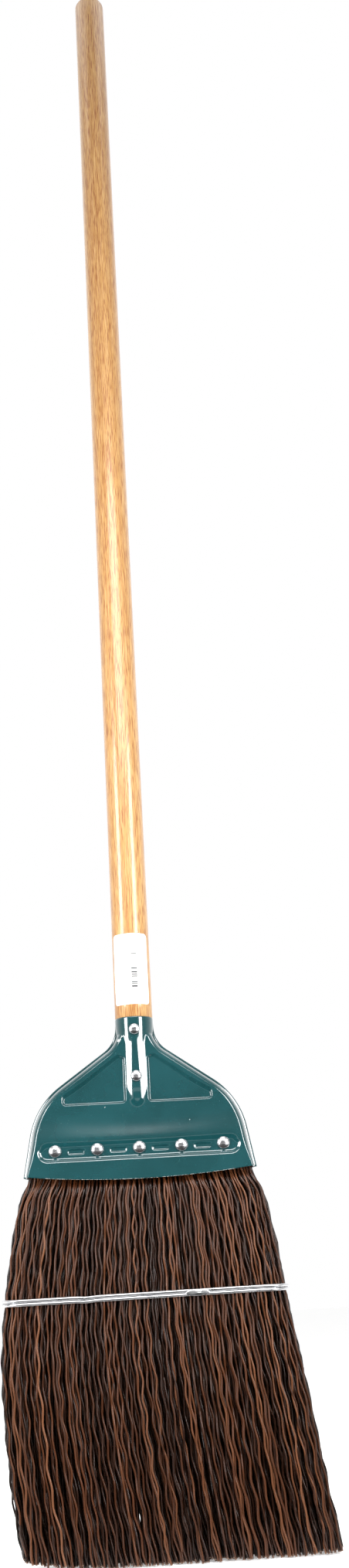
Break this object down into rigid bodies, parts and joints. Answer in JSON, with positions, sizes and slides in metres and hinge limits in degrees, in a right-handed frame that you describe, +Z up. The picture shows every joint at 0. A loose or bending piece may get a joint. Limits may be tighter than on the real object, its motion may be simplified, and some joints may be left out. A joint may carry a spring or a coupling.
{
  "type": "upright metal-cap broom",
  "caption": "Upright flat broom with a straight round wooden handle, a riveted two-part steel cap and a wire-banded fan of crimped plastic fibres.",
  "frame": {"origin": "on the handle's axis, in the plane of the fibre tips", "axes": "+Z up the handle, -Y out of the front face of the cap, +X to the right seen from the front"},
  "size_m": [0.225, 0.037, 1.406],
  "materials": {
    "lacquered_wood": "clear lacquer over straight-grained hardwood",
    "label_paper": "coated paper with plain printed bars",
    "green_enamel": "gloss dark green stoving enamel",
    "plated_rivet": "bright plated",
    "rod_steel": "plain drawn steel",
    "crimped_fibre": "extruded brown polymer, semi-gloss",
    "band_wire": "bright galvanised wire"
  },
  "bodies": {
    "root": {"handle": "lacquered_wood", "handle_label": "label_paper", "cap_front": "green_enamel", "cap_back": "green_enamel", "core_rod": "rod_steel", "fibre_root": "crimped_fibre", "fibre_rivet_1": "plated_rivet", "fibre_rivet_2": "plated_rivet", "fibre_rivet_3": "plated_rivet", "fibre_rivet_4": "plated_rivet", "fibre_rivet_5": "plated_rivet", "fibre_rivet_washer_1": "plated_rivet", "fibre_rivet_washer_2": "plated_rivet", "fibre_rivet_washer_3": "plated_rivet", "fibre_rivet_washer_4": "plated_rivet", "fibre_rivet_washer_5": "plated_rivet", "handle_rivet_upper": "plated_rivet", "handle_rivet_lower": "plated_rivet", "handle_rivet_washer_upper": "plated_rivet", "handle_rivet_washer_lower": "plated_rivet"},
    "bristles": {"fibre_skirt": "crimped_fibre", "band_wire_upper": "band_wire", "band_wire_lower": "band_wire", "band_joint": "band_wire"}
  },
  "joints": [
    {"name": "bristle_flex", "type": "hinge", "parent": "root", "child": "bristles", "pos_m": [0, 0, 0.208], "axis": [1, 0, 0], "range_deg": [-15, 15], "stiffness_Nm_per_rad": 30}
  ]
}
